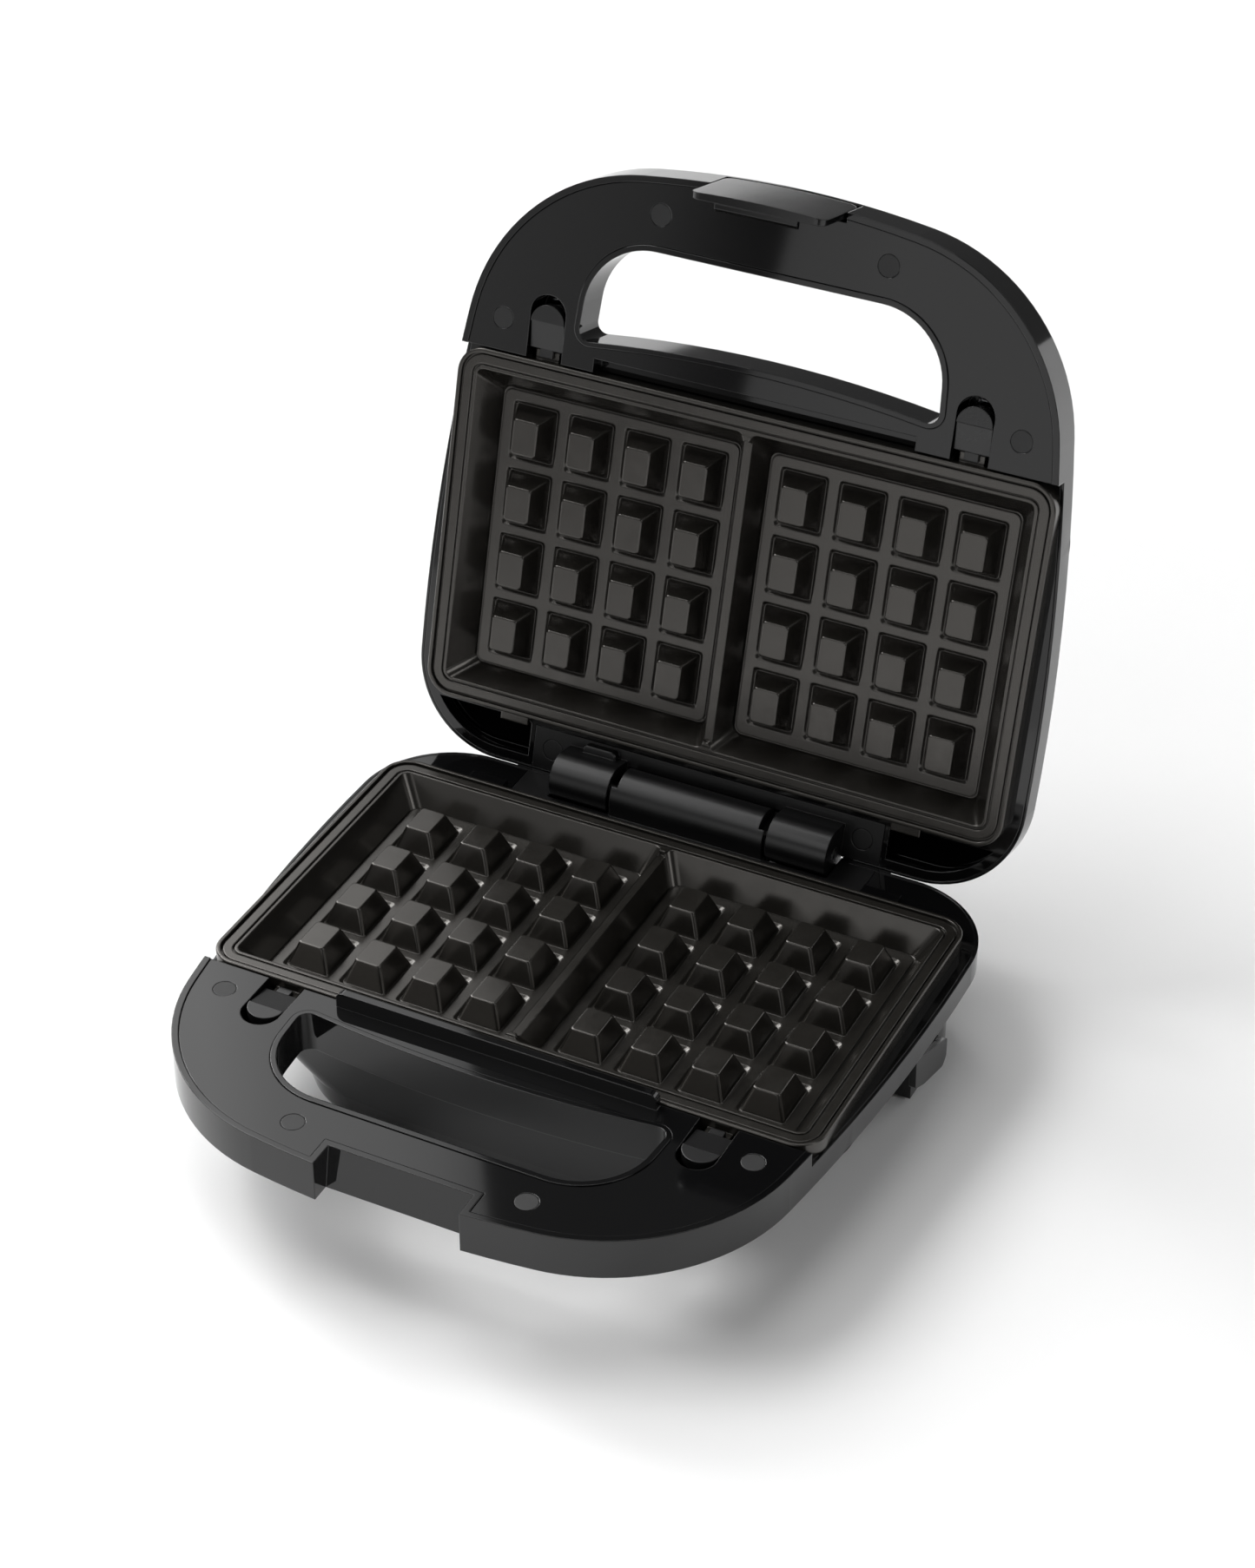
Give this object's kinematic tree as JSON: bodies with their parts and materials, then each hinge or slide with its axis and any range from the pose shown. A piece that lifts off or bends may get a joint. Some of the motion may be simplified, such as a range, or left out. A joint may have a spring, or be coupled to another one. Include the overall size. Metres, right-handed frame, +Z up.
{
  "type": "waffle maker",
  "caption": "Open waffle maker with handle cut-outs, clip latch, release buttons and removable studded plates on a rear-hinged lid.",
  "frame": {"origin": "on the table, under the middle of the open appliance's bounding box", "axes": "+X to the user's right, +Y from the handle towards the hinge, +Z up"},
  "size_m": [0.2374, 0.3025, 0.2704],
  "materials": {
    "casing_black": "satin",
    "panel_black": "satin",
    "nonstick_coating": "satin non-stick",
    "button_black": "fine matt",
    "cap_black": "satin",
    "latch_black": "satin",
    "steel": "plain",
    "heater_sheath": "oxidised",
    "shield_aluminium": "mill",
    "spring_steel": "plain",
    "rubber_black": "matt",
    "wire_insulation": "woven glass sleeve",
    "terminal_white": "matt",
    "brass_contact": "plain",
    "board_green": "satin",
    "lens_red": "polished",
    "lens_green": "polished"
  },
  "bodies": {
    "base": {"base_shell": "casing_black", "base_deck": "panel_black", "base_hinge_bracket": "panel_black", "hinge_pin": "steel", "lower_plate": "nonstick_coating", "lower_heating_element": "heater_sheath", "base_reflector": "shield_aluminium", "base_thermostat": "brass_contact", "thermal_fuse": "steel", "terminal_block": "terminal_white", "base_wiring": "wire_insulation", "cord_inlet_bushing": "rubber_black", "base_screw_plugs": "cap_black", "base_handle_screws": "steel", "base_bracket_screws": "steel", "rear_foot_right": "casing_black", "rear_foot_left": "casing_black", "foot_pads": "rubber_black", "base_button_spring_left": "spring_steel", "base_button_spring_right": "spring_steel"},
    "lid": {"lid_shell": "casing_black", "lid_deck": "panel_black", "lid_hinge_bracket": "panel_black", "upper_plate": "nonstick_coating", "upper_heating_element": "heater_sheath", "lid_reflector": "shield_aluminium", "lid_thermostat": "brass_contact", "lid_wiring": "wire_insulation", "lid_screw_plugs": "cap_black", "lid_handle_screws": "steel", "lid_bracket_plugs": "cap_black", "lid_bracket_screws": "steel", "indicator_board": "board_green", "power_lens": "lens_red", "ready_lens": "lens_green", "latch_pin": "steel", "lid_button_spring_left": "spring_steel", "lid_button_spring_right": "spring_steel"},
    "latch": {"latch_clip": "latch_black"},
    "base_left_button": {"base_button_left": "button_black"},
    "base_right_button": {"base_button_right": "button_black"},
    "lid_left_button": {"lid_button_left": "button_black"},
    "lid_right_button": {"lid_button_right": "button_black"}
  },
  "joints": [
    {"name": "lid_hinge", "type": "hinge", "parent": "base", "child": "lid", "pos_m": [0, 0.07295, 0.0491], "axis": [1, 0, 0], "range_deg": [0, 104.8]},
    {"name": "latch_pivot", "type": "hinge", "parent": "lid", "child": "latch", "pos_m": [0, 0.13806, 0.25872], "axis": [1, 0, 0], "range_deg": [-20, 7]},
    {"name": "base_left_release", "type": "slide", "parent": "base", "child": "base_left_button", "axis": [0, -1, 0], "range_m": [0, 0.0034], "stiffness_N_per_m": 150, "springref_m": -0.003, "deforming": ["base_button_spring_left"]},
    {"name": "base_right_release", "type": "slide", "parent": "base", "child": "base_right_button", "axis": [0, -1, 0], "range_m": [0, 0.0034], "stiffness_N_per_m": 150, "springref_m": -0.003, "deforming": ["base_button_spring_right"]},
    {"name": "lid_left_release", "type": "slide", "parent": "lid", "child": "lid_left_button", "axis": [0, 0.2554, 0.9668], "range_m": [0, 0.0034], "stiffness_N_per_m": 150, "springref_m": -0.003, "deforming": ["lid_button_spring_left"]},
    {"name": "lid_right_release", "type": "slide", "parent": "lid", "child": "lid_right_button", "axis": [0, 0.2554, 0.9668], "range_m": [0, 0.0034], "stiffness_N_per_m": 150, "springref_m": -0.003, "deforming": ["lid_button_spring_right"]}
  ]
}
